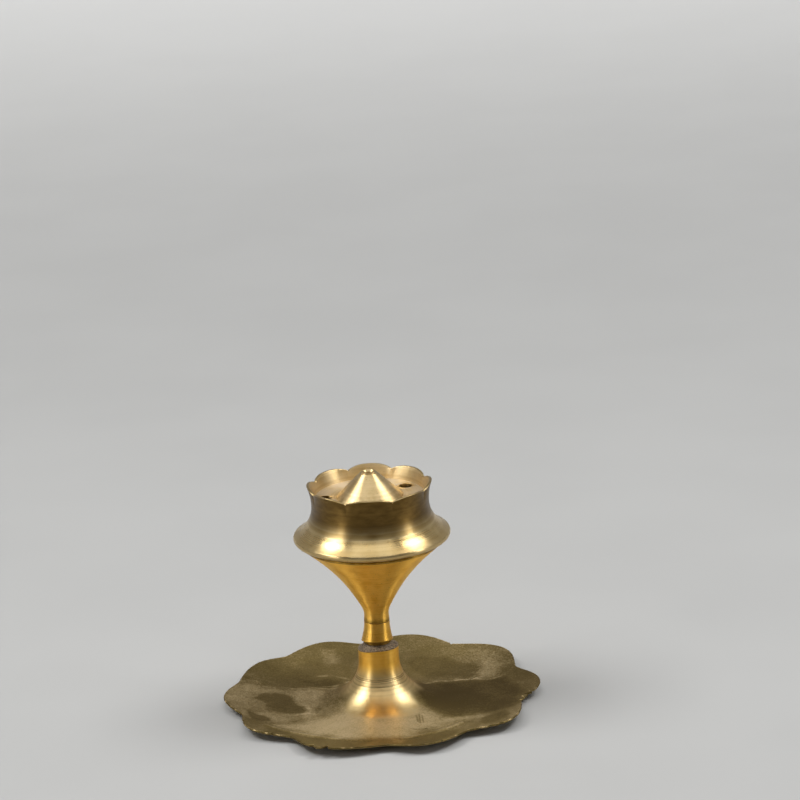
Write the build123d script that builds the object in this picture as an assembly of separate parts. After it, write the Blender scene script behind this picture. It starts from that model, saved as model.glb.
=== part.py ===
from build123d import *
import os
from math import acos, asin, atan2, cos, degrees, hypot, radians, sin

# Incense stick holder of turned and cast brass: a lobed dish with a trumpet boss, a conical
# neck ring, a funnel stem and a petalled cup with stick holes round a conical socket.
# Millimetres, +Z up, origin on the table under the middle of the dish.

# Base dish
LOBE_COUNT = 10
LOBE_TIP_RADIUS = 38.8
LOBE_DEPTH = 3.6
LOBE_NOTCH_ROUNDING = 5.0
RIM_WIDTH = 6.8
RIM_RISE = 1.2
EDGE_THICKNESS = 0.8
PLATE_THICKNESS = 1.1
CREASE_RISE = 0.5
FOOT_INSET = 1.5
FOOT_WIDTH = 3.5
FOOT_RECESS = 0.4
BOSS_FLARE = 10.0
BOSS_WALL = 1.7
COLLAR_HEIGHT = 3.1
COLLAR_RADIUS = 4.9
COLLAR_WALL = 1.0
COLLAR_BEVEL = 0.25
CROWN_RISE = 0.8
WEB_THICKNESS = 5.2

# Screw and washer under the boss
SCREW_RADIUS = 1.5
SCREW_LENGTH = 10.0
SCREW_TIP_BEVEL = 0.3
HEAD_RADIUS = 2.8
HEAD_HEIGHT = 1.8
HEAD_CROWN = 0.6
SLOT_WIDTH = 0.8
SLOT_DEPTH = 0.9
WASHER_THICKNESS = 0.5
WASHER_CLEARANCE = 0.4
SCREW_HOLE_CLEARANCE = 0.2

# Neck ring
RING_HEIGHT = 5.5
RING_WALL = 0.75
RING_FLARE = 0.65
RING_CHAMFER_WIDTH = 0.7
RING_CHAMFER_HEIGHT = 0.65

# Funnel stem
STEM_HEIGHT = 20.4
NECK_SPIGOT_WALL = 0.75
NECK_SPIGOT_GAP = 0.3
SHOULDER_BEVEL = 0.2
SCREW_RUN_OUT = 1.5
WAIST_DEPTH = 0.12
WAIST_RISE = 1.75
MOUTH_INSET = 0.8
MOUTH_BEVEL = 0.25
MOUTH_ANGLE = 50.0
KNEE_HEIGHT_SHARE = 0.172
KNEE_RADIUS_SHARE = 0.08
FLARE_HEIGHT_SHARE = 0.476
FLARE_RADIUS_SHARE = 0.331
SOCKET_LAND = 6.0
POCKET_DEPTH = 7.0
POCKET_FLOOR_SHARE = 0.42

# Cup
CUP_HEIGHT = 14.7
CUP_SPIGOT_LENGTH = 3.0
CUP_SPIGOT_WALL = 1.5
SPIGOT_END_GAP = 0.3
LIP_RADIUS = 18.88
LIP_ROUNDING = 1.1
LIP_RISE = 1.5
LIP_UNDERCUT_ANGLE = 20.0
LIP_CREASE_ANGLE = 42.0
SKIRT_HEIGHT = 7.4
WALL_RADIUS = 14.1
WALL_THICKNESS = 1.8
PETAL_COUNT = 8
PETAL_FLARE = 0.9
PETAL_DEPTH = 0.7
PETAL_ARCH = 1.0
PETAL_SLIT_RADIUS = 0.25
RIM_THICKNESS = 0.9
RECESS_DEPTH = 3.4
FLOOR_THICKNESS = 5.0
STICK_COUNT = 5
STICK_HOLE_RADIUS = 1.6
STICK_START_ANGLE = 35.0

# Conical socket
CONE_BASE_RADIUS = 8.1
CONE_TOP_RADIUS = 1.75
CONE_HEIGHT = 6.1
CONE_HOLE_RADIUS = 1.1
CONE_HOLE_FLOOR = 1.1
CONE_SPIGOT_RADIUS = 2.5

# Fits and cuts
RUNNING_CLEARANCE = 0.05
OVERRUN = 1.0

# Heights, from the table up
well_height = PLATE_THICKNESS
crease_height = well_height + CREASE_RISE
flare_height = well_height + BOSS_FLARE
collar_height = flare_height + COLLAR_HEIGHT
boss_height = collar_height + CROWN_RISE
ceiling_height = boss_height - WEB_THICKNESS
head_seat_height = ceiling_height - WASHER_THICKNESS
screw_tip_height = head_seat_height + SCREW_LENGTH
shoulder_height = boss_height + RING_HEIGHT
parting_height = shoulder_height + STEM_HEIGHT
spigot_bottom = parting_height - CUP_SPIGOT_LENGTH
petal_top_height = parting_height + CUP_HEIGHT
floor_height = petal_top_height - RECESS_DEPTH
floor_underside = floor_height - FLOOR_THICKNESS

# Radii, from the screw outwards and from the lip inwards
screw_hole_radius = SCREW_RADIUS + SCREW_HOLE_CLEARANCE
thread_radius = SCREW_RADIUS + RUNNING_CLEARANCE
neck_spigot_radius = thread_radius + NECK_SPIGOT_WALL
ring_bore = neck_spigot_radius + RUNNING_CLEARANCE
ring_top_radius = ring_bore + RING_WALL
ring_foot_radius = ring_top_radius + RING_FLARE
ring_base_radius = ring_foot_radius - RING_CHAMFER_WIDTH
counterbore_radius = COLLAR_RADIUS - COLLAR_WALL
crease_radius = LOBE_TIP_RADIUS - RIM_WIDTH
lip_centre_radius = LIP_RADIUS - LIP_ROUNDING
mouth_radius = lip_centre_radius - MOUTH_INSET
cup_spigot_radius = mouth_radius - SOCKET_LAND
spigot_bore = cup_spigot_radius - CUP_SPIGOT_WALL
floor_radius = WALL_RADIUS - RIM_THICKNESS
petal_tip_radius = WALL_RADIUS + PETAL_FLARE
stick_circle_radius = (CONE_BASE_RADIUS + floor_radius) / 2


def turned(*edges):
    """A closed outline of radii and heights, turned about the vertical axis."""
    return revolve(Plane.XZ * make_face(edges), axis=Axis.Z)


def rod(radius, bottom, top):
    """A plain upright cylinder between two heights."""
    base = (Align.CENTER, Align.CENTER, Align.MIN)
    return Pos(0, 0, bottom) * Cylinder(radius, top - bottom, align=base)


def polar(radius, angle, centre=(0, 0)):
    """The point at a radius and an angle in degrees about a centre."""
    across = radius * cos(radians(angle))
    along = radius * sin(radians(angle))
    return (centre[0] + across, centre[1] + along)


def between(start, end, across_share, up_share):
    """The point at a share of the radius and a share of the height between two points."""
    across = start[0] + across_share * (end[0] - start[0])
    up = start[1] + up_share * (end[1] - start[1])
    return (across, up)


def arc_about(centre, radius, start, end):
    """The arc about a centre from one angle to another."""
    return CenterArc(centre, radius, start, end - start)


def lobed_outline(count, tip_radius, notch_radius, rounding):
    """A flower outline: equal arcs over the lobe tips, joined by rounded notches, one tip on +X."""
    half = 180 / count
    notch_centre = notch_radius + rounding
    reach = notch_centre * cos(radians(half))
    lobe_square = tip_radius**2 + notch_centre**2 - 2 * tip_radius * reach - rounding**2
    lobe_radius = lobe_square / (2 * (rounding + tip_radius - reach))
    lobe_centre = tip_radius - lobe_radius
    meet_share = lobe_radius / (lobe_radius + rounding)
    meet_across = lobe_centre + meet_share * (reach - lobe_centre)
    meet_along = meet_share * notch_centre * sin(radians(half))
    meet_radius = hypot(meet_across, meet_along)
    meet_angle = degrees(atan2(meet_along, meet_across))
    arcs = []
    for number in range(count):
        middle = number * 2 * half
        start = polar(meet_radius, middle - meet_angle)
        end = polar(meet_radius, middle + meet_angle)
        arcs.append(ThreePointArc(start, polar(tip_radius, middle), end))
        if rounding:
            next_start = polar(meet_radius, middle + 2 * half - meet_angle)
            arcs.append(ThreePointArc(end, polar(notch_radius, middle + half), next_start))
    return make_face(arcs)


def make_base_dish():
    """The dish: foot ring, rising lobed rim and a hollow, crowned trumpet boss with the screw's hole."""
    blank_radius = LOBE_TIP_RADIUS + OVERRUN
    blank_top = crease_height + RIM_RISE * (RIM_WIDTH + OVERRUN) / RIM_WIDTH
    foot_outer = crease_radius - FOOT_INSET
    foot_inner = foot_outer - FOOT_WIDTH
    flare_centre = (COLLAR_RADIUS + BOSS_FLARE, flare_height)
    hollow_radius = BOSS_FLARE + BOSS_WALL
    hollow_drop = flare_height - FOOT_RECESS
    low_angle = 180 + degrees(asin(hollow_drop / hollow_radius))
    high_angle = 180 + degrees(acos((BOSS_FLARE + COLLAR_WALL) / hollow_radius))
    collar = Polyline(
        (screw_hole_radius, ceiling_height),
        (screw_hole_radius, boss_height),
        (ring_base_radius, boss_height),
        (COLLAR_RADIUS - COLLAR_BEVEL, collar_height),
        (COLLAR_RADIUS, collar_height - COLLAR_BEVEL),
        (COLLAR_RADIUS, flare_height),
    )
    trumpet = arc_about(flare_centre, BOSS_FLARE, 180, 270)
    well = Line((flare_centre[0], well_height), (foot_inner, well_height))
    crease = (crease_radius, crease_height)
    rise = TangentArc((foot_inner, well_height), crease, tangent=(1, 0))
    rim = Polyline(
        crease,
        (blank_radius, blank_top),
        (blank_radius, blank_top - EDGE_THICKNESS),
        (foot_outer, 0),
        (foot_inner, 0),
        (foot_inner, FOOT_RECESS),
        polar(hollow_radius, low_angle, flare_centre),
    )
    hollow = arc_about(flare_centre, hollow_radius, low_angle, high_angle)
    counterbore = Polyline(
        polar(hollow_radius, high_angle, flare_centre),
        (counterbore_radius, ceiling_height),
        (screw_hole_radius, ceiling_height),
    )
    blank = turned(collar, trumpet, well, rise, rim, hollow, counterbore)
    notch_radius = LOBE_TIP_RADIUS - LOBE_DEPTH
    outline = lobed_outline(LOBE_COUNT, LOBE_TIP_RADIUS, notch_radius, LOBE_NOTCH_ROUNDING)
    return blank & extrude(outline, boss_height + OVERRUN)


def make_base_screw():
    """Pan-head screw, point up, with a screwdriver slot in the underside of its head."""
    head_bottom = head_seat_height - HEAD_HEIGHT
    body = turned(
        Polyline(
            (0, head_bottom),
            (HEAD_RADIUS - HEAD_CROWN, head_bottom),
            (HEAD_RADIUS, head_bottom + HEAD_CROWN),
            (HEAD_RADIUS, head_seat_height),
            (SCREW_RADIUS, head_seat_height),
            (SCREW_RADIUS, screw_tip_height - SCREW_TIP_BEVEL),
            (SCREW_RADIUS - SCREW_TIP_BEVEL, screw_tip_height),
            (0, screw_tip_height),
            (0, head_bottom),
        )
    )
    slot_height = SLOT_DEPTH + OVERRUN
    slot = Box(2 * HEAD_RADIUS + OVERRUN, SLOT_WIDTH, slot_height)
    return body - Pos(0, 0, head_bottom + SLOT_DEPTH - slot_height / 2) * slot


def make_base_washer():
    """Flat washer between the screw's head and the ceiling of the hollow boss."""
    hole_radius = SCREW_RADIUS + SCREW_HOLE_CLEARANCE / 2
    disc = rod(counterbore_radius - WASHER_CLEARANCE, head_seat_height, ceiling_height)
    return disc - rod(hole_radius, head_seat_height - OVERRUN, ceiling_height + OVERRUN)


def make_neck_ring():
    """Conical ring on the stem's spigot, hollow-sided and chamfered where it stands on the boss."""
    top = (ring_top_radius, shoulder_height)
    foot = (ring_foot_radius, boss_height + RING_CHAMFER_HEIGHT)
    side = TangentArc(top, foot, tangent=(0, -1))
    rest = Polyline(
        foot,
        (ring_base_radius, boss_height),
        (ring_bore, boss_height),
        (ring_bore, shoulder_height),
        top,
    )
    return turned(side, rest)


def make_stem_funnel():
    """Stem: spigot with the screw's hole, waist, flaring funnel and the socket for the cup."""
    neck_bottom = boss_height + NECK_SPIGOT_GAP
    thread_top = screw_tip_height + SCREW_RUN_OUT
    waist = (ring_top_radius - WAIST_DEPTH, shoulder_height + WAIST_RISE)
    mouth = (mouth_radius, parting_height - MOUTH_BEVEL)
    knee = between(waist, mouth, KNEE_RADIUS_SHARE, KNEE_HEIGHT_SHARE)
    middle = between(waist, mouth, FLARE_RADIUS_SHARE, FLARE_HEIGHT_SHARE)
    socket_radius = cup_spigot_radius + RUNNING_CLEARANCE
    socket_floor = spigot_bottom - SPIGOT_END_GAP
    pocket_floor = socket_floor - POCKET_DEPTH
    neck = Polyline(
        (0, thread_top),
        (thread_radius, thread_top),
        (thread_radius, neck_bottom),
        (neck_spigot_radius, neck_bottom),
        (neck_spigot_radius, shoulder_height),
        (ring_top_radius - SHOULDER_BEVEL, shoulder_height),
        (ring_top_radius, shoulder_height + SHOULDER_BEVEL),
        waist,
    )
    mouth_tangent = polar(1, 90 - MOUTH_ANGLE)
    flare = Spline(waist, knee, middle, mouth, tangents=[(0, 1), mouth_tangent])
    inside = Polyline(
        mouth,
        (mouth_radius - MOUTH_BEVEL, parting_height),
        (socket_radius, parting_height),
        (socket_radius, socket_floor),
        (spigot_bore, socket_floor),
        (spigot_bore * POCKET_FLOOR_SHARE, pocket_floor),
        (0, pocket_floor),
        (0, thread_top),
    )
    return turned(neck, flare, inside)


def spoke(radius, angle, height):
    """A round bar lying level from the axis outwards past the lip, at an angle and a height."""
    along_x = Rot(0, 90, 0) * rod(radius, 0, LIP_RADIUS + OVERRUN)
    return Rot(0, 0, angle) * Pos(0, 0, height) * along_x


def petal_cuts(wall_start):
    """What is cut from the cup's rim to leave arched petals with fine slits, one facing -Y."""
    top = petal_top_height + OVERRUN
    half = 180 / PETAL_COUNT
    half_width = petal_tip_radius * sin(radians(half))
    arch_radius = (half_width**2 + PETAL_ARCH**2) / (2 * PETAL_ARCH)
    notch_height = petal_top_height - PETAL_ARCH
    outline = lobed_outline(PETAL_COUNT, petal_tip_radius, petal_tip_radius - PETAL_DEPTH, 0)
    flower = Rot(0, 0, -90) * Pos(0, 0, wall_start) * extrude(outline, top - wall_start)
    outside = rod(LIP_RADIUS, wall_start, top) - flower
    above = rod(LIP_RADIUS, notch_height - OVERRUN, top)
    slits = []
    for number in range(PETAL_COUNT):
        middle = 2 * half * number - 90
        above -= spoke(arch_radius, middle, petal_top_height - arch_radius)
        slits.append(spoke(PETAL_SLIT_RADIUS, middle + half, notch_height))
    return [outside, above] + slits


def make_cup():
    """Cup: spigot, beaded lip, hollow skirt, petalled rim and a floor with the stick holes."""
    lip_centre = (lip_centre_radius, parting_height + LIP_RISE)
    lip_start_angle = LIP_UNDERCUT_ANGLE - 90
    crease = polar(LIP_ROUNDING, LIP_CREASE_ANGLE, lip_centre)
    wall_start = crease[1] + SKIRT_HEIGHT
    cavity_radius = WALL_RADIUS - WALL_THICKNESS
    cavity_floor = parting_height + cavity_radius - spigot_bore
    cone_bore = CONE_SPIGOT_RADIUS + RUNNING_CLEARANCE
    rim_top = petal_top_height + OVERRUN
    rim_radius = petal_tip_radius + OVERRUN * PETAL_FLARE / RECESS_DEPTH
    underside = Polyline(
        (spigot_bore, parting_height),
        (spigot_bore, spigot_bottom),
        (cup_spigot_radius, spigot_bottom),
        (cup_spigot_radius, parting_height),
        (mouth_radius - MOUTH_BEVEL, parting_height),
        polar(LIP_ROUNDING, lip_start_angle, lip_centre),
    )
    lip = arc_about(lip_centre, LIP_ROUNDING, lip_start_angle, LIP_CREASE_ANGLE)
    skirt = TangentArc((WALL_RADIUS, wall_start), crease, tangent=(0, -1))
    wall = TangentArc((WALL_RADIUS, wall_start), (rim_radius, rim_top), tangent=(0, 1))
    inside = Polyline(
        (rim_radius, rim_top),
        (rim_radius - RIM_THICKNESS, rim_top),
        (floor_radius, floor_height),
        (cone_bore, floor_height),
        (cone_bore, floor_underside),
        (cavity_radius, floor_underside),
        (cavity_radius, cavity_floor),
        (spigot_bore, parting_height),
    )
    cup = turned(underside, lip, skirt, wall, inside)
    for cut in petal_cuts(wall_start):
        cup -= cut
    stick_hole = rod(STICK_HOLE_RADIUS, floor_underside - OVERRUN, floor_height + OVERRUN)
    for number in range(STICK_COUNT):
        angle = STICK_START_ANGLE + number * 360 / STICK_COUNT
        cup -= Pos(*polar(stick_circle_radius, angle)) * stick_hole
    return cup


def make_cone_socket():
    """Conical socket in the middle of the cup's floor, bored from its tip for one stick."""
    tip_height = floor_height + CONE_HEIGHT
    hole_floor = floor_underside + CONE_HOLE_FLOOR
    return turned(
        Polyline(
            (0, floor_underside),
            (CONE_SPIGOT_RADIUS, floor_underside),
            (CONE_SPIGOT_RADIUS, floor_height),
            (CONE_BASE_RADIUS, floor_height),
            (CONE_TOP_RADIUS, tip_height),
            (CONE_HOLE_RADIUS, tip_height),
            (CONE_HOLE_RADIUS, hole_floor),
            (0, hole_floor),
            (0, floor_underside),
        )
    )


def main():
    pieces = {
        "base_dish": make_base_dish(),
        "base_screw": make_base_screw(),
        "base_washer": make_base_washer(),
        "neck_ring": make_neck_ring(),
        "stem_funnel": make_stem_funnel(),
        "cup": make_cup(),
        "cone_socket": make_cone_socket(),
    }
    os.makedirs("parts", exist_ok=True)
    for name, piece in pieces.items():
        piece.label = name
        export_step(piece, f"parts/{name}.step")


if __name__ == "__main__":
    main()
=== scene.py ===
import math

import bmesh
import bpy
import numpy as np
from mathutils import Matrix, Vector, noise


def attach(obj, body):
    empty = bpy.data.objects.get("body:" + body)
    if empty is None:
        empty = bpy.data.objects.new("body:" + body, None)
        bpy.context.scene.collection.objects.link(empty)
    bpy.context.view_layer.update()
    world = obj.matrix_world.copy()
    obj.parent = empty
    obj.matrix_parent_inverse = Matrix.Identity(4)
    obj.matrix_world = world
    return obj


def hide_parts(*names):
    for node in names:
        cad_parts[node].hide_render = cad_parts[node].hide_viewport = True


# Incense stick holder: fine meshes, brass materials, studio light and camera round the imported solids.
# Sizes are in millimetres and meshes in metres, in the frame of the solids.
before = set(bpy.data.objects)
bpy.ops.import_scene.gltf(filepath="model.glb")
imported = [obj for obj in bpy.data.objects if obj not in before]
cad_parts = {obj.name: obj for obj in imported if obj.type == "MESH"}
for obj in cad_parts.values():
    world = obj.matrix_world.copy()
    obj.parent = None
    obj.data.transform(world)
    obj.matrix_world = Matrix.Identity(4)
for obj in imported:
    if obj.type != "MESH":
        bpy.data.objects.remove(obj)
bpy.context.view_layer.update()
MM = 0.001

# Base dish
SCREW_HOLE_RADIUS = 1.7
COLLAR_RADIUS, COLLAR_TOP = 4.9, 14.2
COLLAR_DROP, COLLAR_TILT, COLLAR_LEAN = 0.2, 0.35, 0.25
BOSS_TOP = 15.0
FLARE_CENTRE, FLARE_RADIUS = (14.9, 11.1), 10.0
WELL_HEIGHT = 1.1
FOOT_INNER, FOOT_OUTER, FOOT_RECESS = 27.0, 30.5, 0.4
CREASE = (32.0, 1.6)
RIM_SLOPE = 1.2 / 6.8
RIM_EDGE = 0.5
EDGE_INSETS = (0.18, 0.07, 0.0, 0.0, 0.08, 0.2)
EDGE_DROPS = (0.02, 0.1, 0.32, 0.68, 0.92, 1.0)
HOLLOW_RADIUS = 11.7
COUNTERBORE = (3.9, 9.8)
DISH_SEGMENTS = 720
# Heights of the plate's lumps, radii at which they are full and fade out, and height of the rim's folds
WIDE_LUMPS, SMALL_LUMPS, LUMPS_FULL, LUMPS_FADE = 0.07, 0.025, 20.0, (35.0, 38.0)
FOLD_HEIGHT = 0.26
# Heights and radii over which the tilt of the collar's top fades in, and heights where gold does
TILT_HEIGHTS, TILT_RADII = (12.2, 14.0), (3.3, 4.5)
GOLD_HEIGHTS = (6.5, 10.5)
# How far out the trumpet is bright, how much further in front as a painted sheen, and how dark the plain
# plate is, partly oxide and partly painted shade for the dark surroundings it reflects
SHINE_REACH, FRONT_PAINTED_SHEEN = 6.5, 4.0
PLATE_OXIDE_AND_SHADE = 0.42

# The hand-cut outline: angle and radius of each lobe tip and each notch in turn
OUTLINE = (
    (0, 38.8), (19, 35.5), (37.5, 39.0), (58, 35.4), (76, 38.1), (97, 34.5), (113, 37.9), (130, 36.0),
    (143, 38.0), (162, 36.5), (178, 38.2), (196, 35.1), (213, 37.7), (230, 33.8), (247, 38.4), (271, 34.6),
    (286, 38.5), (305, 34.8), (320, 39.3), (342, 35.5),
)
# Where the cut is ragged: middle angle, half width and depth of the small bites
RAGGED = ((246, 5, 0.5), (312, 11, 0.55), (347, 7, 0.6), (221, 11, 0.5), (60, 5, 0.4), (150, 9, 0.3))
# Single nicks in the edge: angle, half width in degrees and depth; a burr beside a nick is a negative depth
NICKS = (
    (248.8, 0.9, 1.9), (246.4, 1.3, -0.9), (243.6, 0.8, 0.9), (350.4, 0.8, 1.1), (348.0, 0.8, 1.3),
    (345.6, 0.8, 1.0), (341.6, 0.6, 0.5), (316.4, 0.6, 0.5), (313.2, 0.6, 0.6), (309.6, 0.7, 0.6),
    (226.4, 0.6, 0.5), (222.0, 0.7, 0.6), (218.4, 0.6, 0.5), (204.0, 0.6, 0.4), (291.0, 0.5, 0.3),
    (58.6, 0.7, 0.5),
)
# Lines turned into the trumpet: height on its flank, depth and half width
TRUMPET_LINES = (
    (7.6, 0.015, 0.16), (7.05, 0.05, 0.15), (6.7, 0.06, 0.16), (6.25, 0.02, 0.18), (5.5, 0.032, 0.2),
    (4.8, 0.012, 0.2), (3.9, 0.012, 0.25),
)

# Stains on the dish: darkness, half width of the border and outline; a negative darkness is pale dust, and
# the big front wedge is partly dust and partly a painted sheen
STAINS = (
    (0.4, 1.0, (
        (-29.0, 5.5), (-30.0, 3.5), (-28.5, 0.0), (-28.2, -3.0), (-26.0, -6.5), (-22.5, -9.0), (-19.2, -9.5),
        (-18.4, -7.0), (-19.5, -4.0), (-21.0, -0.5), (-21.5, 2.0), (-23.5, 4.5), (-26.0, 5.5))),
    (0.4, 0.5, (
        (-32.0, -7.5), (-29.5, -8.0), (-27.0, -11.0), (-26.6, -13.5), (-29.0, -14.0), (-31.5, -11.0))),
    (0.42, 1.3, (
        (8.5, 6.0), (12.0, 6.4), (20.0, 5.8), (25.0, 6.4), (30.0, 6.6), (33.5, 0.0), (33.5, -7.0),
        (32.8, -14.5), (29.0, -16.0), (22.0, -15.5), (17.0, -16.5), (14.0, -15.0), (12.5, -11.0),
        (10.5, -7.0), (8.0, -3.0))),
    (0.16, 2.5, ((13.0, 2.0), (24.0, 1.0), (26.0, -8.0), (20.0, -14.0), (14.0, -12.0))),
    (0.22, 1.2, (
        (-21.0, 14.5), (-17.0, 13.0), (-12.0, 13.5), (-8.5, 12.5), (-9.0, 9.0), (-12.0, 7.5), (-17.0, 8.5))),
    (0.22, 1.2, ((8.0, 25.0), (17.0, 23.0), (25.0, 15.0), (21.0, 9.0), (11.0, 10.0), (8.0, 15.0))),
    (0.3, 0.8, ((24.0, -18.0), (29.0, -17.0), (30.5, -21.0), (27.0, -26.0), (24.5, -25.0), (23.5, -21.0))),
    (0.24, 0.9, ((5.0, -30.0), (10.0, -28.4), (15.0, -25.4), (18.0, -27.0), (12.0, -40.0), (4.0, -36.0))),
    (0.24, 0.9, (
        (-28.0, -18.5), (-23.0, -22.0), (-16.0, -26.0), (-9.0, -28.8), (-4.0, -30.4), (-4.0, -38.0),
        (-30.0, -38.0))),
    (0.14, 1.5, (
        (-38.0, 13.5), (-27.0, 10.5), (-22.0, 9.6), (-14.0, 7.5), (-8.0, 6.0), (-6.0, 40.0), (-40.0, 40.0))),
    (-0.2, 1.6, (
        (-38.5, 10.5), (-27.0, 8.8), (-19.0, 7.0), (-14.0, 5.0), (-17.0, -12.0), (-27.0, -15.0),
        (-38.0, -8.0))),
    # The pale front wedge: dust and a painted sheen.
    (-0.42, 3.0, (
        (-9.0, -9.0), (-13.0, -13.0), (-25.0, -17.0), (-17.0, -24.0), (-5.0, -27.5), (5.0, -27.5),
        (15.0, -21.5), (23.0, -18.0), (14.0, -16.5), (10.0, -9.0))),
    (-0.28, 1.6, ((-14.0, 31.5), (-11.0, 31.0), (-10.0, 24.0), (-12.5, 21.5), (-14.0, 25.0))),
    (-0.22, 1.6, ((-22.5, 25.0), (-20.0, 25.5), (-19.5, 21.0), (-22.0, 20.5))),
    (-0.16, 1.8, ((22.0, 12.0), (25.0, 17.0), (24.0, 24.0), (28.5, 22.0), (31.0, 14.0), (27.0, 9.0))),
    (-0.12, 1.6, ((27.0, -14.0), (35.0, -11.0), (36.0, -18.0), (30.0, -27.0), (30.0, -20.0))),
)
# Pale tide lines: strength, half width and run
TIDE_LINES = (
    (0.2, 0.5, (
        (-35.5, 11.5), (-31.0, 12.0), (-27.0, 9.5), (-22.0, 9.0), (-19.0, 7.5), (-14.0, 6.5), (-10.0, 5.0))),
    (0.45, 0.55, ((7.8, 4.4), (9.7, 5.6), (12.3, 6.9), (17.0, 6.9), (22.2, 7.2), (24.5, 9.8))),
    (0.3, 0.5, ((-19.0, -3.0), (-17.6, -6.0), (-17.8, -9.3), (-20.8, -10.4))),
    (0.4, 0.5, ((-15.3, 15.9), (-11.1, 14.5), (-9.0, 13.7), (-6.9, 12.4))),
    (0.4, 0.55, ((-14.3, 8.4), (-10.1, 7.3), (-8.2, 7.8), (-7.0, 8.9))),
    (0.25, 0.5, ((23.0, 8.5), (25.5, 6.5), (31.0, 9.0))),
)
# Folds in the front of the rim, raised and lightened as a painted highlight
FOLDS = (
    ((-28.0, -17.0), (-23.0, -21.0), (-16.0, -25.0), (-9.0, -28.0), (-3.5, -29.6)),
    ((4.5, -29.4), (10.0, -27.5), (15.0, -24.5), (19.0, -21.0)),
)
# Scratches
SCRATCHES = (
    ((8.2, -14.6), (8.4, -19.0)), ((8.8, -14.0), (9.0, -20.0)), ((9.5, -15.0), (9.7, -19.6)),
    ((6.6, -23.3), (8.4, -23.9), (10.6, -23.6)),
)

# Screw and washer
SCREW_RADIUS, SCREW_ROOT = 1.5, 1.22
SCREW_PITCH = 0.5
SCREW_TIP, TIP_CHAMFER, HEAD_SEAT, HEAD_BOTTOM = 19.3, 0.3, 9.3, 7.5
HEAD_RADIUS, HEAD_CROWN = 2.8, 0.6
SLOT_WIDTH, SLOT_DEPTH = 0.8, 0.9
WASHER_HOLE, WASHER_RADIUS, WASHER_TOP = 1.6, 3.5, 9.8
SCREW_SEGMENTS, WASHER_SEGMENTS = 96, 128

# Neck ring and funnel stem
RING_BORE, RING_TOP_RADIUS, RING_BASE_RADIUS = 2.35, 3.1, 3.05
RING_FOOT, RING_TILT, RING_SHIFT = (3.75, 15.65), 0.6, 0.15
SHOULDER = 20.5
SPIGOT_RADIUS, SPIGOT_BOTTOM = 2.3, 15.3
THREAD_RADIUS, THREAD_TOP = 1.55, 20.8
FUNNEL = ((2.98, 22.25), (4.10, 25.415), (7.614, 31.008), (16.98, 40.65))
MOUTH_SLOPE = 40
PARTING = 40.9
MOUTH_STEP, MOUTH_RADIUS, MOUTH_TOP = 15.2, 17.3, 41.2
MOUTH_CHAMFER, MOUTH_GAP = 0.15, 0.03
SOCKET_RADIUS, SOCKET_FLOOR = 11.03, 37.6
POCKET_RADIUS, POCKET_FLOOR, POCKET_FLOOR_RADIUS = 9.48, 30.6, 3.98
RING_SEGMENTS, STEM_SEGMENTS = 192, 288

# Cup
CUP_SPIGOT_RADIUS, CUP_SPIGOT_BOTTOM = 10.98, 37.9
CUP_THREAD_PITCH, CUP_THREAD_DEPTH = 1.0, 0.25
LIP_CENTRE, LIP_ROUNDING = (17.96, 42.52), 0.92
LIP_START, LIP_CREASE = -62, 42
SKIRT_CENTRE, SKIRT_RADIUS, SKIRT_TURN = (22.44, 50.536), 8.34, 62.6
WALL_RADIUS, WALL_START = 14.1, 50.536
PETAL_COUNT = 8
PETAL_TOP, PETAL_ARCH = 55.6, 1.0
PETAL_TIP, PETAL_NOTCH = 15.0, 14.3
PETAL_FULLNESS, SLIT_DEPTH, FILE_MARKS = 2.5, 0.22, 0.05
RIM_THICKNESS, RIM_ROUNDING, RIM_SHOULDER = 0.6, 0.06, 0.18
FLOOR, FLOOR_RADIUS, FLOOR_UNDERSIDE = 52.2, 13.2, 47.2
FILLET_RUN, FILLET_RISE = 0.12, 0.08
CAVITY_RADIUS, CAVITY_FLOOR = 12.3, 43.72
CONE_BORE = 2.55
STICK_COUNT, STICK_RADIUS, STICK_CIRCLE, STICK_START = 5, 1.6, 10.65, 35
SOOT_DEPTH = 1.2
CUP_SEGMENTS, DRILL_SEGMENTS = 720, 64
# Each petal's share of the full arch, the shift of its first edge and the turn of the whole rim, in degrees
PETAL_SHARES = (1.0, 0.9, 1.0, 0.94, 0.98, 0.9, 1.0, 0.93)
PETAL_TURNS = (0.0, 0.8, -0.9, 0.5, 0.9, -0.6, 0.7, -0.8)
RIM_TURN = 1.7
# Heights over which the wall darkens, partly with age and partly as painted shade for the dark surroundings
# it reflects, and where the lip's bead ends; place and reach of the painted shade on the front of the skirt
WALL_TARNISH_AND_SHADE, BEAD_END = (43.8, 50.4), (42.7, 43.2)
FRONT_SHADE_ANGLE, FRONT_SHADE_TURN, FRONT_SHADE_HEIGHT, FRONT_SHADE_RISE = 271, 7, 46.7, 0.8

# Cone
CONE_BASE, CONE_TOP, CONE_TIP = 8.1, 1.75, 58.3
CONE_HOLE, CONE_HOLE_FLOOR, CONE_SPIGOT = 1.1, 48.3, 2.5
CONE_MOUTH, CONE_MOUTH_DEPTH, TIP_STEP = 1.52, 0.5, 0.28
CONE_SEGMENTS = 256

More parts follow.
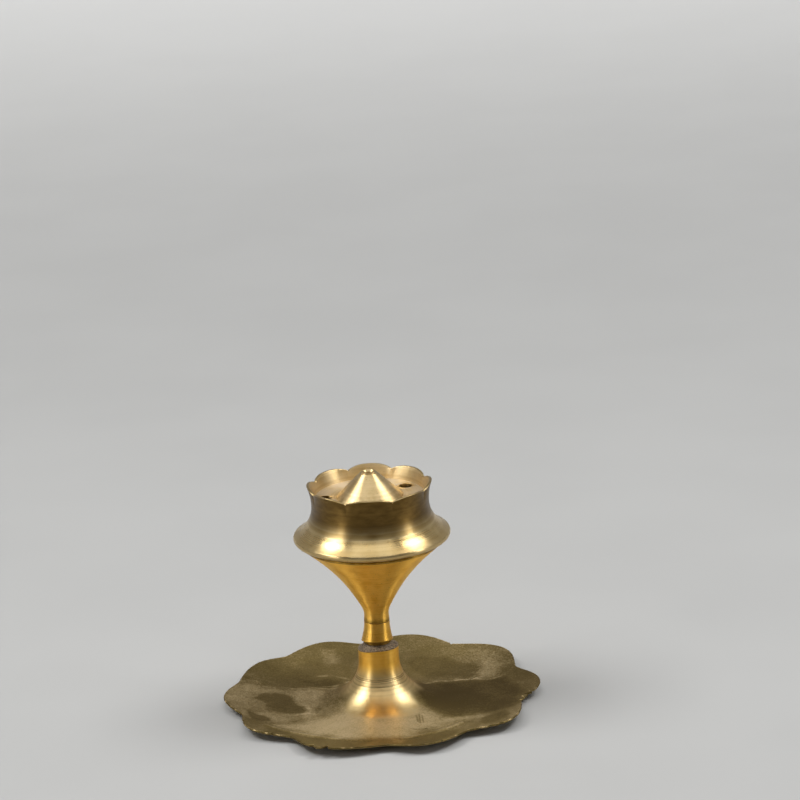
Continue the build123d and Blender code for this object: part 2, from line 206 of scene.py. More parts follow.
# Tones, as linear colours
GOLD, DEEP_GOLD = (1.0, 0.61, 0.12), (0.84, 0.45, 0.06)
PALE_BRASS, DEEP_BRASS = (0.86, 0.66, 0.33), (0.68, 0.48, 0.20)
BRONZE, DARK_BRONZE = (0.235, 0.143, 0.042), (0.105, 0.062, 0.017)
PALE, TAN = (0.55, 0.42, 0.225), (0.36, 0.27, 0.12)
OLIVE, BROWN = (0.25, 0.186, 0.07), (0.135, 0.096, 0.033)
GRAZING_TINT = (0.94, 0.80, 0.66)
ASH, CAST_GREY, CAST_DARK = (0.62, 0.49, 0.33), (0.37, 0.285, 0.19), (0.13, 0.10, 0.065)
CONE_BRASS, CONE_DEEP = (0.78, 0.60, 0.32), (0.62, 0.45, 0.21)
SOOT = (0.028, 0.018, 0.007)
ZINC, DULL_ZINC = (0.62, 0.61, 0.57), (0.38, 0.37, 0.35)
# The far floor tone is painted light, paler to make up for less lamp light far off.
FLOOR_TONE, FAR_FLOOR_PAINTED_LIGHT = (0.52, 0.52, 0.51), (0.80, 0.80, 0.79)

# Lamps: name, azimuth from the camera and elevation in degrees, distance, width and height in metres, watts
LAMPS = (
    ("left_softbox", -92, 50, 0.75, 0.34, 0.26, 2.5),
    ("right_softbox", 98, 52, 0.75, 0.36, 0.26, 2.1),
    ("top_softbox", 180, 82, 0.9, 0.7, 0.6, 1.4),
    ("front_softbox", 0, 66, 0.8, 0.75, 0.2, 0.85),
    ("left_low_strip", -58, 14, 0.7, 0.14, 0.26, 0.55),
    ("right_low_strip", 72, 14, 0.7, 0.14, 0.26, 0.5),
)


def line(start, end, step):
    """Points along a straight run, both ends included."""
    count = max(1, round(math.dist(start, end) / step))
    return [tuple(a + (b - a) * i / count for a, b in zip(start, end)) for i in range(count + 1)]


def legs(start, *stops):
    """Points along straight runs; each stop is a radius, a height and the spacing on the way to it."""
    path, here = [start], start
    for radius, height, step in stops:
        path += line(here, (radius, height), step)[1:]
        here = (radius, height)
    return path


def arc(centre, radius, start, end, step):
    """Points along an arc between two angles in degrees."""
    count = max(2, round(radius * math.radians(abs(end - start)) / step))
    turns = [math.radians(start + (end - start) * i / count) for i in range(count + 1)]
    return [(centre[0] + radius * math.cos(t), centre[1] + radius * math.sin(t)) for t in turns]


def joined(*runs):
    """Runs end to end, without repeated points."""
    path = []
    for run in runs:
        for point in run:
            if not path or math.dist(path[-1], point) > 1e-6:
                path.append(point)
    return path


def rounded(path, size, closed=True):
    """The path with its sharp corners eased."""
    eased, count = [], len(path)
    for i, corner in enumerate(path):
        before, after = Vector(path[i - 1]), Vector(path[(i + 1) % count])
        here = Vector(corner)
        at_end = not closed and i in (0, count - 1)
        if at_end or (here - before).angle(after - here, 0) < math.radians(25):
            eased.append(corner)
            continue
        reach_in = min(size, 0.45 * (here - before).length)
        reach_out = min(size, 0.45 * (after - here).length)
        start = here + (before - here).normalized() * reach_in
        end = here + (after - here).normalized() * reach_out
        for t in (0, 0.33, 0.67, 1):
            eased.append(tuple(start * (1 - t) ** 2 + here * 2 * t * (1 - t) + end * t**2))
    return eased


def scored(path, depth, spacing, seed):
    """The path with fine turning lines cut into it, fading out at both ends."""
    lengths = [0.0]
    for a, b in zip(path, path[1:]):
        lengths.append(lengths[-1] + math.dist(a, b))
    marked = [path[0]]
    for i in range(1, len(path) - 1):
        along = Vector(path[i + 1]) - Vector(path[i - 1])
        inward = Vector((along.y, -along.x)).normalized()
        place = lengths[i] / spacing
        fade = min(1, lengths[i] / (2 * spacing), (lengths[-1] - lengths[i]) / (2 * spacing))
        cut = max(0, noise.noise((place, seed, 0))) + 0.6 * max(0, noise.noise((2.3 * place, seed, 7)))
        marked.append(tuple(Vector(path[i]) + inward * depth * fade * cut))
    marked.append(path[-1])
    return marked


def incised(path, lines):
    """The path with single lines cut into it, each at a height with a depth and a half width."""
    cut = []
    for i, point in enumerate(path):
        along = Vector(path[min(i + 1, len(path) - 1)]) - Vector(path[max(i - 1, 0)])
        inward = Vector((along.y, -along.x)).normalized()
        deep = 0
        for height, depth, half in lines:
            away = abs(point[1] - height) * along.length / max(abs(along.y), 1e-6)
            deep = max(deep, depth * max(0, 1 - (away / half) ** 2))
        cut.append(tuple(Vector(point) + inward * deep))
    return cut


def line_depths(heights):
    """How deep in a trumpet line each height lies, 1 at the bottom of the deepest."""
    deepest = max(depth for _, depth, _ in TRUMPET_LINES)
    cuts = []
    for height, depth, half in TRUMPET_LINES:
        cuts.append(depth / deepest * np.clip(1 - ((heights - height) / half) ** 2, 0, 1))
    return np.max(cuts, axis=0)


def ease(value, low, high):
    """0 below low, 1 above high and a smooth step between."""
    share = np.clip((value - low) / (high - low), 0, 1)
    return share * share * (3 - 2 * share)


def clouds(x, y, scale, seed):
    """Smooth noise at flat arrays of points, features about a scale across."""
    points = zip(np.ravel(x) / scale, np.ravel(y) / scale)
    return np.array([noise.noise((a, b, seed)) for a, b in points]).reshape(np.shape(x))


def lathe_arrays(path, segments):
    """The same radii and heights all the way round."""
    radii = np.tile([p[0] for p in path], (segments, 1))
    heights = np.tile([p[1] for p in path], (segments, 1))
    return radii, heights


def angles_of(radii):
    """The angle of each column, repeated along it, in radians."""
    segments, count = radii.shape
    return np.repeat(2 * math.pi * np.arange(segments)[:, None] / segments, count, axis=1)


def put_in_scene(name, data):
    """A new object in the scene."""
    thing = bpy.data.objects.new(name, data)
    bpy.context.scene.collection.objects.link(thing)
    return thing


def spin(name, radii, heights, closed=True, marks=None):
    """A mesh from columns of radii and heights set round the axis, with named values at its points."""
    segments, count = radii.shape
    turn = angles_of(radii)
    points = np.stack([radii * np.cos(turn), radii * np.sin(turn), heights], axis=2).reshape(-1, 3) * MM
    rows = count if closed else count - 1
    column, row = np.meshgrid(np.arange(segments), np.arange(rows), indexing="ij")
    after, above = (column + 1) % segments, (row + 1) % count
    left, right = column * count, after * count
    faces = np.stack([left + row, left + above, right + above, right + row], axis=2)
    mesh = bpy.data.meshes.new(name)
    mesh.from_pydata(points.tolist(), [], faces.reshape(-1, 4).tolist())
    for label, values in (marks or {}).items():
        attribute = mesh.attributes.new(label, "FLOAT", "POINT")
        attribute.data.foreach_set("value", np.ascontiguousarray(values, dtype=np.float32).ravel())
    shape = bmesh.new()
    shape.from_mesh(mesh)
    if not closed:
        bmesh.ops.remove_doubles(shape, verts=shape.verts[:], dist=MM * 1e-4)
    bmesh.ops.recalc_face_normals(shape, faces=shape.faces[:])
    shape.to_mesh(mesh)
    shape.free()
    return put_in_scene(name, mesh)


def cut_out(piece, cutter):
    """Cuts one mesh out of another and removes the cutter."""
    step = piece.modifiers.new("cut", "BOOLEAN")
    step.operation, step.solver, step.object = "DIFFERENCE", "EXACT", cutter
    graph = bpy.context.evaluated_depsgraph_get()
    result = bpy.data.meshes.new_from_object(piece.evaluated_get(graph))
    piece.modifiers.remove(step)
    piece.data = result
    bpy.data.objects.remove(cutter)


def fit(piece, node, material, sharp=35):
    """Finishes a piece: shading, material, and the solid that it stands for and rides with."""
    piece.data.shade_smooth()
    piece.data.set_sharp_from_angle(angle=math.radians(sharp))
    piece.data.materials.clear()
    piece.data.materials.append(material)
    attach(piece, node)
    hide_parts(node)


class Shader:
    """A material's nodes, made and joined in a few words."""

    def __init__(self, name):
        self.material = bpy.data.materials.new(name)
        self.material.use_nodes = True
        self.tree = self.material.node_tree
        self.surface = self.tree.nodes["Principled BSDF"]
        self.place = self.tree.nodes.new("ShaderNodeTexCoord").outputs["Object"]
        parts = self.node("ShaderNodeSeparateXYZ", {0: self.place})
        self.height = parts.outputs["Z"]
        flat = self.node("ShaderNodeVectorMath", {0: self.place, 1: (1, 1, 0)}, operation="MULTIPLY")
        length = self.node("ShaderNodeVectorMath", {0: flat.outputs[0]}, operation="LENGTH")
        self.radius = length.outputs["Value"]

    def feed(self, socket, value):
        """Links an output to a socket, or sets the socket's own value."""
        if isinstance(value, bpy.types.NodeSocket):
            self.tree.links.new(value, socket)
        else:
            socket.default_value = value

    def node(self, kind, inputs, **settings):
        """A node with its settings and inputs."""
        made = self.tree.nodes.new(kind)
        for label, value in settings.items():
            setattr(made, label, value)
        for label, value in inputs.items():
            self.feed(made.inputs[label], value)
        return made

    def sum(self, a, b, operation="ADD"):
        return self.node("ShaderNodeMath", {0: a, 1: b}, operation=operation).outputs[0]

    def times(self, a, b):
        return self.sum(a, b, "MULTIPLY")

    def value(self, label):
        return self.node("ShaderNodeAttribute", {}, attribute_name=label).outputs["Fac"]

    def noise(self, size, detail=3, stretch=(1, 1, 1)):
        """Noise with features about a size across, in millimetres."""
        place = self.node("ShaderNodeVectorMath", {0: self.place, 1: stretch}, operation="MULTIPLY")
        inputs = {"Vector": place.outputs[0], "Scale": 1 / (size * MM), "Detail": detail}
        return self.node("ShaderNodeTexNoise", inputs).outputs["Fac"]

    def lines(self, size, radius_share, height_share):
        """Turning lines about a size apart, that run round the axis."""
        across = self.times(self.radius, radius_share)
        up = self.times(self.height, height_share)
        inputs = {"W": self.sum(across, up), "Scale": 1 / (size * MM), "Detail": 2.0}
        return self.node("ShaderNodeTexNoise", inputs, noise_dimensions="1D").outputs["Fac"]

    def ramp(self, value, low, high):
        """0 below low, 1 above high."""
        inputs = {"Value": value, "From Min": low, "From Max": high}
        return self.node("ShaderNodeMapRange", inputs, interpolation_type="SMOOTHSTEP").outputs["Result"]

    def mix(self, share, a, b):
        """A colour between two."""
        made = self.node("ShaderNodeMix", {}, data_type="RGBA")
        for number, value in ((0, share), (6, a), (7, b)):
            self.feed(made.inputs[number], (*value, 1) if isinstance(value, tuple) else value)
        return made.outputs[2]

    def bump(self, height, depth, under=None):
        """Relief of a depth in millimetres, on top of another relief."""
        inputs = {"Height": height, "Distance": depth * MM, "Strength": 1.0}
        if under is not None:
            inputs["Normal"] = under
        return self.node("ShaderNodeBump", inputs).outputs["Normal"]

    def finish(self, colour, roughness, normal, metallic=1.0, brushed=0.0):
        """The material with its surface set; brushed draws its sheen out across the turning lines."""
        sockets = {"Base Color": colour, "Roughness": roughness, "Normal": normal, "Metallic": metallic}
        for label, value in sockets.items():
            self.feed(self.surface.inputs[label], value)
        if brushed:
            self.surface.inputs["Anisotropic"].default_value = brushed
            self.surface.inputs["Anisotropic Rotation"].default_value = 0.25
            tangent = self.node("ShaderNodeTangent", {}, direction_type="RADIAL", axis="Z")
            self.tree.links.new(tangent.outputs[0], self.surface.inputs["Tangent"])
        return self.material


def turned_brass_material():
    """Warm turned brass of the stem and ring, darker along the joints, with painted shade under and inside
    the parts and a painted highlight on the ring's top edge.
    """
    s = Shader("turned_brass")
    shade_and_grime = s.value("shade_and_grime")
    fine, coarse = s.lines(0.12, 0.4, 1.0), s.lines(0.4, 0.4, 1.0)
    cloud, blotch, speck = s.noise(4.0), s.noise(1.1), s.noise(0.35, 2)
    broken = s.noise(2.5, 2, (1, 1, 3))
    marked = s.times(s.sum(coarse, -0.5), s.ramp(broken, 0.4, 0.6))
    colour = s.mix(s.ramp(s.sum(cloud, s.times(marked, 0.8)), 0.25, 0.65), DEEP_GOLD, GOLD)
    # Darkening marked on the mesh: painted shade on and under the parts, dirt at the stem's joint, and the
    # ring's top edge left light as a painted highlight.
    darkened = s.ramp(s.sum(shade_and_grime, s.times(s.sum(blotch, -0.5), 0.5)), 0.1, 1.0)
    colour = s.mix(darkened, colour, DARK_BRONZE)
    colour = s.mix(s.times(s.ramp(speck, 0.64, 0.8), 0.7), colour, DARK_BRONZE)
    roughness = s.sum(s.times(cloud, 0.16), s.sum(s.times(fine, 0.12), 0.33))
    roughness = s.sum(roughness, s.times(darkened, 0.08))
    normal = s.bump(marked, 0.02, s.bump(fine, 0.005))
    return s.finish(colour, roughness, normal, brushed=0.95)


def cup_material():
    """The cup: bright skirt and petals, a wall darkened by age and by painted shade, painted shade on the
    bead and the front of the skirt, pale filed slits with a painted highlight, dusty floor and sooty stick
    holes.
    """
    s = Shader("cup_brass")
    tarnish_and_shade, ash, worn, soot = s.value("tarnish_and_shade"), s.value("ash"), s.value("worn"), s.value("soot")
    fine, coarse = s.lines(0.12, 0.5, 1.0), s.lines(0.6, 0.5, 1.0)
    cloud, blotch, speck = s.noise(6.0), s.noise(1.3), s.noise(0.3, 2)
    drift = s.noise(2.2, 3, (1, 1, 2.5))
    tone = s.sum(s.times(cloud, 0.5), s.times(coarse, 0.5))
    bright = s.mix(s.ramp(tone, 0.35, 0.65), DEEP_BRASS, PALE_BRASS)
    dull = s.mix(s.ramp(s.sum(s.times(drift, 0.75), s.times(coarse, 0.25)), 0.1, 0.9), DARK_BRONZE, BRONZE)
    # Darkening marked on the mesh: age on the wall, with painted shade on the wall, the bead and the front of
    # the skirt.
    patchy = s.ramp(s.sum(tarnish_and_shade, s.times(s.sum(drift, -0.5), 0.25)), 0.02, 0.98)
    colour = s.mix(patchy, bright, dull)
    colour = s.mix(s.times(s.ramp(speck, 0.62, 0.8), 0.4), colour, DARK_BRONZE)
    dusty = s.times(ash, s.ramp(s.sum(s.times(cloud, 0.7), s.times(speck, 0.3)), 0.25, 0.6))
    colour = s.mix(s.times(dusty, 0.85), colour, ASH)
    # Worn marks turn pale brass; on the cup's rim they are partly a painted highlight.
    colour = s.mix(soot, s.mix(worn, colour, PALE_BRASS), SOOT)
    roughness = s.sum(s.sum(s.times(cloud, 0.12), s.times(fine, 0.1)), s.sum(s.times(patchy, 0.12), 0.18))
    roughness = s.sum(roughness, s.times(ash, 0.25))
    metallic = s.sum(1.0, s.times(dusty, 0.45), "SUBTRACT")
    relief = s.bump(coarse, 0.004, s.bump(fine, 0.005))
    normal = s.bump(s.times(s.sum(speck, blotch), ash), 0.02, relief)
    return s.finish(colour, roughness, normal, metallic, brushed=0.82)


def cone_material():
    """The cone: satin pale brass with turning lines and a darker foot."""
    s = Shader("cone_brass")
    fine, coarse = s.lines(0.1, 1.0, 0.0), s.lines(0.45, 1.0, 0.0)
    cloud, speck = s.noise(3.0), s.noise(0.3, 2)
    tone = s.sum(s.times(cloud, 0.75), s.times(coarse, 0.25))
    colour = s.mix(s.ramp(tone, 0.3, 0.65), CONE_DEEP, CONE_BRASS)
    foot = s.times(s.ramp(s.radius, 5.6 * MM, CONE_BASE * MM), s.ramp(s.noise(0.8), 0.3, 0.7))
    colour = s.mix(s.times(foot, 0.35), colour, BRONZE)
    colour = s.mix(s.times(s.ramp(speck, 0.62, 0.8), 0.5), colour, DARK_BRONZE)
    roughness = s.sum(s.times(cloud, 0.14), s.sum(s.times(fine, 0.12), 0.28))
    normal = s.bump(coarse, 0.004, s.bump(fine, 0.006))
    return s.finish(colour, roughness, normal, brushed=0.7)


def dish_material():
    """The dish: stained plate with pale dust, painted shade in its base tone, a painted sheen in front and
    painted highlights on the folds; turned trumpet, gold collar, grey cast crown, worn edge.
    """
    s = Shader("aged_brass")
    stains_and_painted_light, bright, gold = s.value("stains_and_painted_light"), s.value("bright"), s.value("gold")
    cast, worn, groove = s.value("cast"), s.value("worn"), s.value("groove")
    fine, coarse = s.lines(0.14, 1.0, 0.8), s.lines(0.6, 1.0, 0.8)
    cloud, blotch, speck = s.noise(5.0, 4), s.noise(1.2, 3), s.noise(0.4, 3)
    grain = s.sum(s.times(s.sum(speck, -0.5), 1.0), s.times(s.sum(blotch, -0.5), 0.35))
    depth = s.sum(stains_and_painted_light, s.sum(s.times(s.sum(cloud, -0.5), 0.3), grain))
    plate = s.mix(s.ramp(depth, -0.25, 0.3), PALE, TAN)
    plate = s.mix(s.ramp(depth, 0.25, 0.55), plate, OLIVE)
    plate = s.mix(s.ramp(depth, 0.5, 1.0), plate, BROWN)
    streak = s.ramp(s.sum(s.times(cloud, 0.8), s.times(coarse, 0.2)), 0.25, 0.65)
    turned = s.mix(gold, s.mix(streak, DEEP_BRASS, PALE_BRASS), s.mix(streak, DEEP_GOLD, GOLD))
    shine = s.ramp(s.sum(bright, s.times(grain, 0.4)), 0.05, 0.95)
    turned = s.mix(s.times(groove, 0.6), turned, DARK_BRONZE)
    # The trumpet's clean brass over the plate's colour, stretched toward the front as a painted sheen.
    colour = s.mix(shine, plate, turned)
    rough_cast = s.ramp(s.sum(cast, s.times(s.sum(blotch, -0.5), 0.5)), 0.35, 0.65)
    colour = s.mix(rough_cast, colour, s.mix(s.ramp(speck, 0.35, 0.65), CAST_DARK, CAST_GREY))
    colour = s.mix(s.times(worn, s.ramp(speck, 0.35, 0.6)), colour, PALE_BRASS)
    dusty = s.times(s.ramp(depth, 0.45, 0.0), s.sum(1.0, shine, "SUBTRACT"))
    roughness = s.sum(s.sum(s.times(stains_and_painted_light, 0.1), 0.3), s.times(cloud, 0.14))
    roughness = s.sum(roughness, s.times(shine, -0.06))
    roughness = s.sum(s.sum(roughness, s.times(rough_cast, 0.25)), s.times(fine, 0.06))
    relief = s.bump(s.times(coarse, shine), 0.005, s.bump(fine, 0.004))
    relief = s.bump(speck, 0.01, relief)
    normal = s.bump(s.times(s.sum(speck, blotch), rough_cast), 0.08, relief)
    covered = s.sum(s.times(dusty, 0.55), s.times(rough_cast, 0.6))
    metallic = s.sum(1.0, covered, "SUBTRACT")
    s.surface.inputs["Specular Tint"].default_value = (*GRAZING_TINT, 1)
    return s.finish(colour, roughness, normal, metallic, brushed=0.65)


def plated_steel_material():
    """Dull zinc plating with stains."""
    s = Shader("plated_steel")
    cloud, speck = s.noise(1.2), s.noise(0.2, 2)
    colour = s.mix(s.ramp(s.sum(s.times(cloud, 0.7), s.times(speck, 0.3)), 0.35, 0.65), DULL_ZINC, ZINC)
    roughness = s.sum(s.times(cloud, 0.25), 0.22)
    return s.finish(colour, roughness, s.bump(speck, 0.006))


def floor_material():
    """Pale matt table top, painted paler further off to make up for the lamps' light falling off there."""
    s = Shader("pale_floor")
    mottle = s.ramp(s.noise(60.0, 2), 0.3, 0.7)
    colour = s.mix(mottle, tuple(0.97 * c for c in FLOOR_TONE), FLOOR_TONE)
    # Painted light: the floor grows paler further off, where less lamp light reaches it.
    colour = s.mix(s.ramp(s.radius, 0.25, 1.6), colour, FAR_FLOOR_PAINTED_LIGHT)
    return s.finish(colour, 0.85, s.bump(s.noise(1.5, 2), 0.01), metallic=0.0)


def outline_radius(angle):
    """The dish's hand-cut edge at an angle in degrees."""
    count = len(OUTLINE)
    for i in range(count):
        start, start_radius = OUTLINE[i]
        end, end_radius = OUTLINE[(i + 1) % count]
        end += 360 if end < start else 0
        if start <= angle < end:
            share = (angle - start) / (end - start)
            low, high = min(start_radius, end_radius), max(start_radius, end_radius)
            rise = share if end_radius > start_radius else 1 - share
            smooth = low + (high - low) * math.sin(rise * math.pi / 2) ** 1.4
            break
    bite = 0.05
    for middle, half, depth in RAGGED:
        away = abs((angle - middle + 180) % 360 - 180)
        bite += depth * max(0, 1 - (away / half) ** 2)
    teeth = max(0, noise.noise((angle * 1.1, 3, 0))) + 0.6 * max(0, noise.noise((angle * 2.7, 9, 0)))
    nick = sum(depth * max(0, 1 - ((angle - middle) / half) ** 2) for middle, half, depth in NICKS)
    return smooth - bite * teeth - nick


def gap_to(x, y, run):
    """The distance of each point from a run of straight lines."""
    nearest = np.full(np.shape(x), np.inf)
    for (start_x, start_y), (end_x, end_y) in zip(run, run[1:]):
        run_x, run_y = end_x - start_x, end_y - start_y
        share = np.clip(((x - start_x) * run_x + (y - start_y) * run_y) / (run_x**2 + run_y**2), 0, 1)
        nearest = np.minimum(nearest, np.hypot(x - start_x - share * run_x, y - start_y - share * run_y))
    return nearest


def depth_in(x, y, outline):
    """The distance of each point from a closed outline, positive inside it."""
    inside = np.zeros(np.shape(x), bool)
    ends = outline[1:] + outline[:1]
    for (start_x, start_y), (end_x, end_y) in zip(outline, ends):
        if start_y != end_y:
            crossing = start_x + (y - start_y) * (end_x - start_x) / (end_y - start_y)
            inside ^= ((start_y > y) != (end_y > y)) & (x < crossing)
    gap = gap_to(x, y, outline + outline[:1])
    return np.where(inside, gap, -gap)


def stain_and_light_at(x, y):
    """How dark the plate is at each point: stains with wavering borders, pale dust and tide lines, over a
    base tone that is partly painted shade; the folds are lightened as painted highlights.
    """
    warp_x = x + 1.3 * clouds(x, y, 5.0, 1.5) + 0.6 * clouds(x, y, 1.4, 11.5)
    warp_y = y + 1.3 * clouds(x, y, 5.0, 8.5) + 0.6 * clouds(x, y, 1.4, 18.5)
    dark = PLATE_OXIDE_AND_SHADE + 0.16 * clouds(x, y, 12.0, 4.5) + 0.1 * clouds(x, y, 3.5, 14.5)
    for strength, border, outline in STAINS:
        dark = dark + strength * ease(depth_in(warp_x, warp_y, outline), -border, border)
    broken = 0.35 + 0.65 * ease(clouds(x, y, 2.6, 6.1), -0.25, 0.15)
    for strength, half, run in TIDE_LINES:
        dark = dark - strength * broken * (1 - ease(gap_to(warp_x, warp_y, run), 0.2 * half, 1.3 * half))
    # The folds are lightened: a painted highlight.
    for run in FOLDS:
        dark = dark - 0.22 * (1 - ease(gap_to(x, y, run), 0.1, 0.7))
    return dark


def scratch_at(x, y):
    """1 on the scratches, 0 away from them."""
    gaps = [gap_to(x, y, run) for run in SCRATCHES]
    return 1 - ease(np.min(gaps, axis=0), 0.06, 0.22)


def make_dish(material):
    """The lobed dish with its trumpet boss, foot ring and hollow underside."""
    crown = legs(
        (SCREW_HOLE_RADIUS, BOSS_TOP), (RING_BASE_RADIUS, BOSS_TOP, 0.25), (COLLAR_RADIUS, COLLAR_TOP, 0.15),
    )
    collar_side = line((COLLAR_RADIUS, COLLAR_TOP), (COLLAR_RADIUS, FLARE_CENTRE[1]), 0.15)
    trumpet = joined(collar_side, incised(arc(FLARE_CENTRE, FLARE_RADIUS, 180, 270, 0.1), TRUMPET_LINES))
    well = line((FLARE_CENTRE[0], WELL_HEIGHT), (FOOT_INNER, WELL_HEIGHT), 0.4)
    rise_run, rise_height = CREASE[0] - FOOT_INNER, CREASE[1] - WELL_HEIGHT
    rise_radius = (rise_run**2 + rise_height**2) / (2 * rise_height)
    rise_turn = math.degrees(math.asin(rise_run / rise_radius))
    rise = arc((FOOT_INNER, WELL_HEIGHT + rise_radius), rise_radius, 270, 270 + rise_turn, 0.4)
    top = joined(rounded(joined(crown, trumpet[1:2]), 0.2, closed=False)[:-1], trumpet[1:], well, rise)
    low_angle = 180 + math.degrees(math.asin((FLARE_CENTRE[1] - FOOT_RECESS) / HOLLOW_RADIUS))
    high_angle = 180 + math.degrees(math.acos((FLARE_CENTRE[0] - COUNTERBORE[0]) / HOLLOW_RADIUS))
    hollow = arc(FLARE_CENTRE, HOLLOW_RADIUS, low_angle, high_angle, 0.8)
    foot = legs((FOOT_OUTER, 0), (FOOT_INNER, 0, 0.7), (FOOT_INNER, FOOT_RECESS, 0.2), (*hollow[0], 1.2))
    bore = legs(
        hollow[-1], (*COUNTERBORE, 0.6), (SCREW_HOLE_RADIUS, COUNTERBORE[1], 0.7),
        (SCREW_HOLE_RADIUS, BOSS_TOP, 1.0),
    )
    underside = rounded(joined(foot, hollow, bore[:-1]), 0.12, closed=False)
    edge = np.array([outline_radius(360 * i / DISH_SEGMENTS) for i in range(DISH_SEGMENTS)])[:, None]
    width = edge - CREASE[0]
    rim_shares = np.linspace(0, 1, 17)[1:-1]
    rim_radii = CREASE[0] + width * rim_shares
    edge_top = CREASE[1] + width * RIM_SLOPE
    edge_radii = edge - np.array(EDGE_INSETS)
    edge_heights = edge_top - RIM_EDGE * np.array(EDGE_DROPS)
    rim_heights = CREASE[1] + (rim_radii - CREASE[0]) * RIM_SLOPE
    under_shares = np.linspace(0, 1, 9)[1:-1]
    under_radii = edge - EDGE_INSETS[-1] + (FOOT_OUTER - edge + EDGE_INSETS[-1]) * under_shares
    under_heights = (edge_top - RIM_EDGE) * (1 - under_shares)
    top_radii, top_heights = lathe_arrays(top, DISH_SEGMENTS)
    foot_radii, foot_heights = lathe_arrays(underside, DISH_SEGMENTS)
    radii = np.hstack([top_radii, rim_radii, edge_radii, under_radii, foot_radii])
    heights = np.hstack([top_heights, rim_heights, edge_heights, under_heights, foot_heights])
    turn = angles_of(radii)
    x, y = radii * np.cos(turn), radii * np.sin(turn)
    upper = np.arange(radii.shape[1]) < len(top) + len(rim_shares) + len(EDGE_INSETS) // 2
    plate = upper & (radii > FLARE_CENTRE[0])
    lumps = WIDE_LUMPS * clouds(x, y, 9.0, 0.5) + SMALL_LUMPS * clouds(x, y, 3.0, 6.5)
    lumps = lumps * ease(radii, FLARE_CENTRE[0], LUMPS_FULL) * (1 - 0.8 * ease(radii, *LUMPS_FADE))
    heights += np.where(plate, lumps, 0)
    fold = np.min([gap_to(x, y, run) for run in FOLDS], axis=0) + 0.3 * clouds(x, y, 4.0, 2.5)
    heights += np.where(plate, FOLD_HEIGHT * (1 - ease(fold, 0.0, 1.0)), 0)
    blend = ease(heights, *TILT_HEIGHTS) * ease(radii, *TILT_RADII)
    tilted = np.where(upper & (radii < COLLAR_RADIUS + 0.3), blend, 0)
    lean = (COLLAR_LEAN * x - COLLAR_TILT * y) / COLLAR_RADIUS
    heights += tilted * (lean - COLLAR_DROP + 0.07 * clouds(x, y, 0.8, 3.3))
    sideways = x / COLLAR_RADIUS
    skin_edge = COLLAR_TOP - 0.1 + COLLAR_LEAN * sideways - 0.45 * sideways**2
    on_crown = upper & (radii < COLLAR_RADIUS + 0.2)
    gap = edge - radii
    # The trumpet's clean brass colour reaches further out on the front: a painted sheen there.
    reach = SHINE_REACH + FRONT_PAINTED_SHEEN * ease(-y / radii, 0.45, 0.95)
    shine = 1 - ease(radii + 1.2 * clouds(x, y, 3.0, 5.5), reach, 1.75 * reach)
    outer_edge = upper & (gap < 0.12)
    # The plate's darkness: real stains, dust and scratches, with painted shade in the base tone, a painted
    # sheen in the pale front wedge and painted highlights on the folds.
    stains_and_painted_light = np.where(upper & (radii > 6.0), stain_and_light_at(x, y) + 0.5 * scratch_at(x, y), 0.55)
    marks = {
        "stains_and_painted_light": np.where(outer_edge, 0.8, stains_and_painted_light),
        "bright": np.where(upper, shine, 0.1),
        "groove": np.where(upper & (radii > COLLAR_RADIUS + 0.1), line_depths(heights), 0.0),
        "gold": np.where(upper, ease(heights, *GOLD_HEIGHTS), 0.0),
        "cast": np.where(on_crown, ease(heights, skin_edge - 0.12, skin_edge + 0.12), 0.0),
        "worn": np.where(upper, 1 - ease(gap, 0.1, 0.35), 0) * ease(clouds(x, y, 1.6, 1.1), 0.1, 0.4),
    }
    piece = spin("lobed_dish", radii, heights, marks=marks)
    fit(piece, "base_dish", material)


def make_screw(material):
    """Slotted screw with a real thread, point up."""
    shank = legs(
        (0, SCREW_TIP), (SCREW_RADIUS - TIP_CHAMFER, SCREW_TIP, 0.6),
        (SCREW_RADIUS, SCREW_TIP - TIP_CHAMFER, 0.6), (SCREW_RADIUS, HEAD_SEAT, 0.06),
        (HEAD_RADIUS, HEAD_SEAT, 0.4), (HEAD_RADIUS, HEAD_BOTTOM + HEAD_CROWN, 0.4),
    )
    crown = arc((HEAD_RADIUS - HEAD_CROWN, HEAD_BOTTOM + HEAD_CROWN), HEAD_CROWN, 0, -90, 0.12)
    path = joined(shank, crown, line((HEAD_RADIUS - HEAD_CROWN, HEAD_BOTTOM), (0, HEAD_BOTTOM), 0.5))
    radii, heights = lathe_arrays(rounded(path, 0.1, closed=False), SCREW_SEGMENTS)
    phase = (heights / SCREW_PITCH - angles_of(radii) / (2 * math.pi)) % 1
    depth = (SCREW_RADIUS - SCREW_ROOT) * ease(np.abs(2 * phase - 1), 0.15, 0.85)
    on_shank = np.abs(radii - SCREW_RADIUS) < 0.01
    radii = np.where(on_shank, radii - depth * ease(heights, HEAD_SEAT + 0.3, HEAD_SEAT + 0.8), radii)
    piece = spin("slotted_screw", radii, heights, closed=False)
    low, high = HEAD_BOTTOM - 1, HEAD_BOTTOM + SLOT_DEPTH
    corners = [(x, y, z) for z in (low, high) for y in (-SLOT_WIDTH / 2, SLOT_WIDTH / 2) for x in (-4, 4)]
    box = bmesh.new()
    bmesh.ops.convex_hull(box, input=[box.verts.new(Vector(c) * MM) for c in corners])
    mesh = bpy.data.meshes.new("slot")
    box.to_mesh(mesh)
    box.free()
    cut_out(piece, put_in_scene("slot", mesh))
    fit(piece, "base_screw", material, sharp=50)


